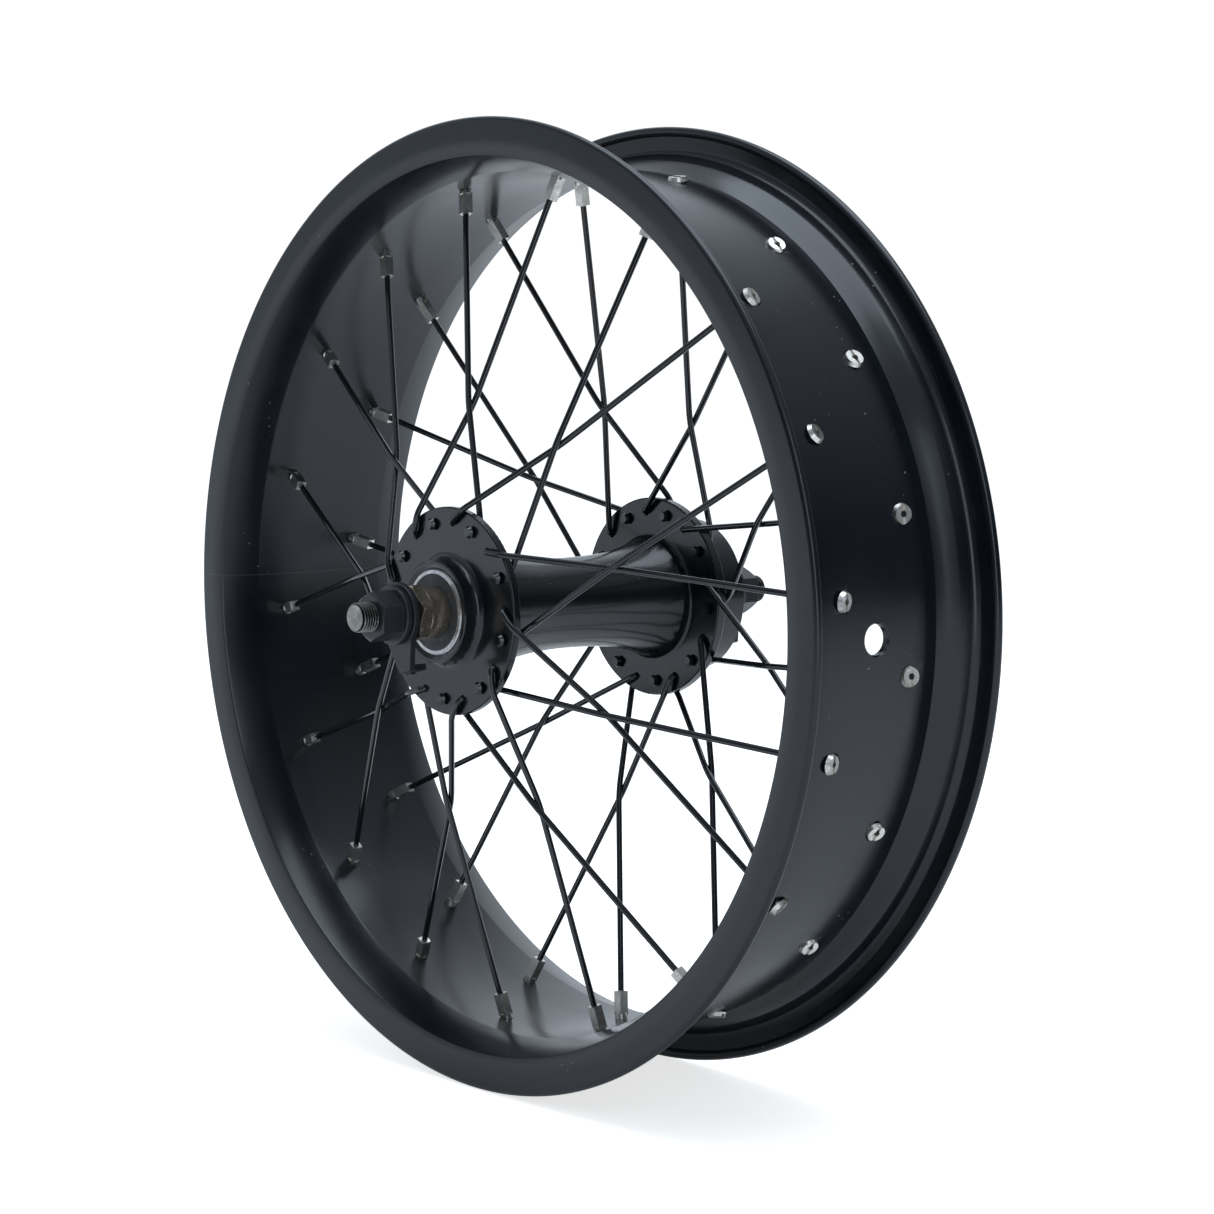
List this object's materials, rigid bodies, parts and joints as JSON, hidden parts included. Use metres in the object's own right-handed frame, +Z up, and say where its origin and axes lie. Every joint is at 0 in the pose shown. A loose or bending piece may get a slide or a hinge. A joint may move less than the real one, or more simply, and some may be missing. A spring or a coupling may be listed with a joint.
{
  "type": "bicycle wheel",
  "caption": "Wide fat-tyre bicycle front wheel with laced black spokes, single-wall rim, disc-brake hub on cartridge bearings and a nutted solid axle",
  "frame": {"origin": "the wheel's centre, on the axle's line, midway between the two dropout faces", "axes": "+Y along the axle toward the disc-brake side, +Z up, +X across the wheel; the valve hole points along +X"},
  "size_m": [0.3174, 0.175, 0.3174],
  "materials": {
    "rim_black": "satin black",
    "hub_black": "gloss black",
    "spoke_black": "gloss black",
    "nickel": "bright nickel",
    "worn_steel": "worn thread",
    "plain_steel": "plain",
    "bearing_steel": "ground",
    "ball_steel": "polished",
    "seal_rubber": "matt dark grey",
    "zinc_steel": "yellow zinc",
    "black_steel": "satin black"
  },
  "bodies": {
    "axle_set": {"axle": "worn_steel", "bearing_spacer_tube": "plain_steel", "near_bearing_inner_ring": "bearing_steel", "near_spacer_collar": "zinc_steel", "near_lock_nut": "zinc_steel", "far_bearing_inner_ring": "bearing_steel", "far_spacer_collar": "zinc_steel", "far_lock_nut": "zinc_steel"},
    "wheel": {"rim": "rim_black", "hub_shell": "hub_black", "nipples_near": "nickel", "nipples_far": "nickel", "spoke_near_outer_1": "spoke_black", "spoke_near_outer_2": "spoke_black", "spoke_near_outer_3": "spoke_black", "spoke_near_outer_4": "spoke_black", "spoke_near_outer_5": "spoke_black", "spoke_near_outer_6": "spoke_black", "spoke_near_outer_7": "spoke_black", "spoke_near_outer_8": "spoke_black", "spoke_near_outer_9": "spoke_black", "spoke_near_inner_1": "spoke_black", "spoke_near_inner_2": "spoke_black", "spoke_near_inner_3": "spoke_black", "spoke_near_inner_4": "spoke_black", "spoke_near_inner_5": "spoke_black", "spoke_near_inner_6": "spoke_black", "spoke_near_inner_7": "spoke_black", "spoke_near_inner_8": "spoke_black", "spoke_near_inner_9": "spoke_black", "spoke_far_outer_1": "spoke_black", "spoke_far_outer_2": "spoke_black", "spoke_far_outer_3": "spoke_black", "spoke_far_outer_4": "spoke_black", "spoke_far_outer_5": "spoke_black", "spoke_far_outer_6": "spoke_black", "spoke_far_outer_7": "spoke_black", "spoke_far_outer_8": "spoke_black", "spoke_far_outer_9": "spoke_black", "spoke_far_inner_1": "spoke_black", "spoke_far_inner_2": "spoke_black", "spoke_far_inner_3": "spoke_black", "spoke_far_inner_4": "spoke_black", "spoke_far_inner_5": "spoke_black", "spoke_far_inner_6": "spoke_black", "spoke_far_inner_7": "spoke_black", "spoke_far_inner_8": "spoke_black", "spoke_far_inner_9": "spoke_black", "near_bearing_outer_ring": "bearing_steel", "near_bearing_seals": "seal_rubber", "far_bearing_outer_ring": "bearing_steel", "far_bearing_seals": "seal_rubber"},
    "near_balls": {"near_bearing_balls": "ball_steel", "near_bearing_cage": "plain_steel"},
    "near_clamp": {"near_hook_washer": "black_steel"},
    "near_nut": {"near_axle_nut": "black_steel"},
    "far_balls": {"far_bearing_balls": "ball_steel", "far_bearing_cage": "plain_steel"},
    "far_clamp": {"far_hook_washer": "black_steel"},
    "far_nut": {"far_axle_nut": "black_steel"}
  },
  "joints": [
    {"name": "wheel_spin", "type": "hinge", "parent": "axle_set", "child": "wheel", "pos_m": [0, 0, 0], "axis": [0, 1, 0], "continuous": true},
    {"name": "near_ball_roll", "type": "hinge", "parent": "axle_set", "child": "near_balls", "pos_m": [0, -0.052, 0], "axis": [0, 1, 0], "continuous": true},
    {"name": "near_clamp_slide", "type": "slide", "parent": "axle_set", "child": "near_clamp", "axis": [0, -1, 0], "range_m": [-0.0019, 0.012]},
    {"name": "near_nut_turn", "type": "hinge", "parent": "near_clamp", "child": "near_nut", "pos_m": [0, -0.075, 0], "axis": [0, -1, 0], "range_deg": [-700.16, 4422.05]},
    {"name": "far_ball_roll", "type": "hinge", "parent": "axle_set", "child": "far_balls", "pos_m": [0, 0.052, 0], "axis": [0, 1, 0], "continuous": true},
    {"name": "far_clamp_slide", "type": "slide", "parent": "axle_set", "child": "far_clamp", "axis": [0, 1, 0], "range_m": [-0.0019, 0.012]},
    {"name": "far_nut_turn", "type": "hinge", "parent": "far_clamp", "child": "far_nut", "pos_m": [0, 0.075, 0], "axis": [0, 1, 0], "range_deg": [-700.16, 4422.05]}
  ],
  "couplings": [
    {"joint": "near_ball_roll", "follows": "wheel_spin", "ratio": 0.61905},
    {"joint": "near_nut_turn", "follows": "near_clamp_slide", "rad_per_m": 6431.6},
    {"joint": "far_ball_roll", "follows": "wheel_spin", "ratio": 0.61905},
    {"joint": "far_nut_turn", "follows": "far_clamp_slide", "rad_per_m": 6431.6}
  ]
}
